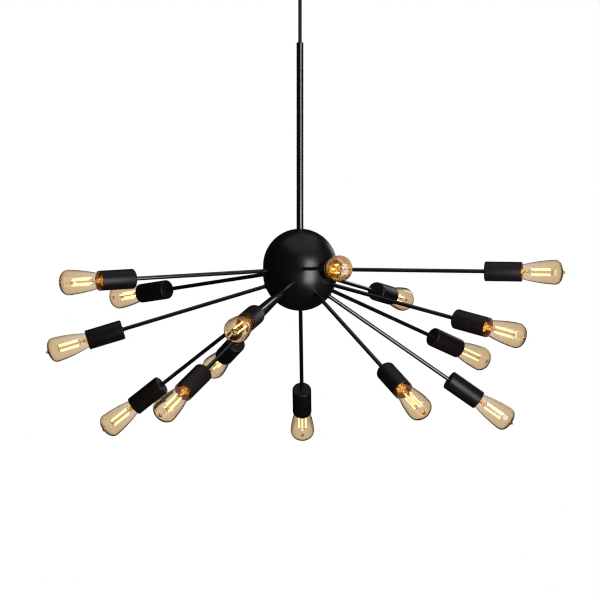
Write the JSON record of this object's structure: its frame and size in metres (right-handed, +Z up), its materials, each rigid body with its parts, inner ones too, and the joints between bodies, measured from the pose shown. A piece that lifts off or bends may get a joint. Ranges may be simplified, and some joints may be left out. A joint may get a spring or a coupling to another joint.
{
  "type": "sputnik chandelier",
  "caption": "Ceiling lamp with a round hub on a cord and stem, slim arms that radiate outwards and downwards in three tiers, and a bulb in a plain cup on each arm.",
  "frame": {"origin": "on the face of the ceiling, on the axis of the cord", "axes": "+Z up into the ceiling, the lamp hangs along -Z, -Y is the front that the picture shows"},
  "size_m": [1.0317, 1.0042, 0.944],
  "materials": {
    "black_steel": "satin black powder coat",
    "zinc_steel": "zinc plated",
    "cord_cloth": "braided black cloth over three-core flex",
    "black_nylon": "moulded nylon",
    "black_phenolic": "moulded phenolic with a brass screw shell",
    "amber_glass": "clear amber blown glass with a brass cap"
  },
  "bodies": {
    "ceiling_mount": {"crossbar": "zinc_steel", "canopy": "black_steel", "canopy_studs": "black_steel", "cord_gland": "black_steel", "gland_nut": "zinc_steel"},
    "cord": {"cord": "cord_cloth"},
    "pendant": {"stem_bush": "black_nylon", "stem": "black_steel", "stem_nut": "zinc_steel", "hub_crown": "black_steel", "hub_bowl": "black_steel", "arm_nuts": "zinc_steel", "lampholders": "black_phenolic", "arm_top_1": "black_steel", "arm_top_2": "black_steel", "arm_top_3": "black_steel", "arm_top_4": "black_steel", "arm_top_5": "black_steel", "arm_mid_1": "black_steel", "arm_mid_2": "black_steel", "arm_mid_3": "black_steel", "arm_mid_4": "black_steel", "arm_mid_5": "black_steel", "arm_low_1": "black_steel", "arm_low_2": "black_steel", "arm_low_3": "black_steel", "arm_low_4": "black_steel", "arm_low_5": "black_steel", "socket_cup_top_1": "black_steel", "socket_cup_top_2": "black_steel", "socket_cup_top_3": "black_steel", "socket_cup_top_4": "black_steel", "socket_cup_top_5": "black_steel", "socket_cup_mid_1": "black_steel", "socket_cup_mid_2": "black_steel", "socket_cup_mid_3": "black_steel", "socket_cup_mid_4": "black_steel", "socket_cup_mid_5": "black_steel", "socket_cup_low_1": "black_steel", "socket_cup_low_2": "black_steel", "socket_cup_low_3": "black_steel", "socket_cup_low_4": "black_steel", "socket_cup_low_5": "black_steel"},
    "bulb_top_1": {"bulb_top_1": "amber_glass"},
    "bulb_top_2": {"bulb_top_2": "amber_glass"},
    "bulb_top_3": {"bulb_top_3": "amber_glass"},
    "bulb_top_4": {"bulb_top_4": "amber_glass"},
    "bulb_top_5": {"bulb_top_5": "amber_glass"},
    "bulb_mid_1": {"bulb_mid_1": "amber_glass"},
    "bulb_mid_2": {"bulb_mid_2": "amber_glass"},
    "bulb_mid_3": {"bulb_mid_3": "amber_glass"},
    "bulb_mid_4": {"bulb_mid_4": "amber_glass"},
    "bulb_mid_5": {"bulb_mid_5": "amber_glass"},
    "bulb_low_1": {"bulb_low_1": "amber_glass"},
    "bulb_low_2": {"bulb_low_2": "amber_glass"},
    "bulb_low_3": {"bulb_low_3": "amber_glass"},
    "bulb_low_4": {"bulb_low_4": "amber_glass"},
    "bulb_low_5": {"bulb_low_5": "amber_glass"}
  },
  "joints": [
    {"name": "cord_swing_sideways", "type": "hinge", "parent": "ceiling_mount", "child": "cord", "pos_m": [0, 0, -0.05], "axis": [0, 1, 0], "range_deg": [-15, 15]},
    {"name": "pendant_swing_front_to_back", "type": "hinge", "parent": "cord", "child": "pendant", "pos_m": [0, 0, -0.16], "axis": [1, 0, 0], "range_deg": [-15, 15]},
    {"name": "bulb_out_top_1", "type": "slide", "parent": "pendant", "child": "bulb_top_1", "axis": [0.9884, -0.1495, -0.0262], "range_m": [0, 0.035]},
    {"name": "bulb_out_top_2", "type": "slide", "parent": "pendant", "child": "bulb_top_2", "axis": [0.4269, 0.9032, -0.0454], "range_m": [0, 0.035]},
    {"name": "bulb_out_top_3", "type": "slide", "parent": "pendant", "child": "bulb_top_3", "axis": [-0.7385, 0.672, -0.0541], "range_m": [0, 0.035]},
    {"name": "bulb_out_top_4", "type": "slide", "parent": "pendant", "child": "bulb_top_4", "axis": [-0.8766, -0.472, -0.0941], "range_m": [0, 0.035]},
    {"name": "bulb_out_top_5", "type": "slide", "parent": "pendant", "child": "bulb_top_5", "axis": [0.1438, -0.9858, -0.0872], "range_m": [0, 0.035]},
    {"name": "bulb_out_mid_1", "type": "slide", "parent": "pendant", "child": "bulb_mid_1", "axis": [0.7373, 0.6121, -0.2857], "range_m": [0, 0.035]},
    {"name": "bulb_out_mid_2", "type": "slide", "parent": "pendant", "child": "bulb_mid_2", "axis": [-0.3584, 0.8827, -0.304], "range_m": [0, 0.035]},
    {"name": "bulb_out_mid_3", "type": "slide", "parent": "pendant", "child": "bulb_mid_3", "axis": [-0.9558, -0.03, -0.2924], "range_m": [0, 0.035]},
    {"name": "bulb_out_mid_4", "type": "slide", "parent": "pendant", "child": "bulb_mid_4", "axis": [-0.2321, -0.9308, -0.2823], "range_m": [0, 0.035]},
    {"name": "bulb_out_mid_5", "type": "slide", "parent": "pendant", "child": "bulb_mid_5", "axis": [0.8208, -0.503, -0.2706], "range_m": [0, 0.035]},
    {"name": "bulb_out_low_1", "type": "slide", "parent": "pendant", "child": "bulb_low_1", "axis": [0.8128, 0.1862, -0.5519], "range_m": [0, 0.035]},
    {"name": "bulb_out_low_2", "type": "slide", "parent": "pendant", "child": "bulb_low_2", "axis": [0.01, 0.8221, -0.5693], "range_m": [0, 0.035]},
    {"name": "bulb_out_low_3", "type": "slide", "parent": "pendant", "child": "bulb_low_3", "axis": [-0.7599, 0.3086, -0.5721], "range_m": [0, 0.035]},
    {"name": "bulb_out_low_4", "type": "slide", "parent": "pendant", "child": "bulb_low_4", "axis": [-0.5063, -0.6527, -0.5635], "range_m": [0, 0.035]},
    {"name": "bulb_out_low_5", "type": "slide", "parent": "pendant", "child": "bulb_low_5", "axis": [0.446, -0.7, -0.5577], "range_m": [0, 0.035]}
  ]
}
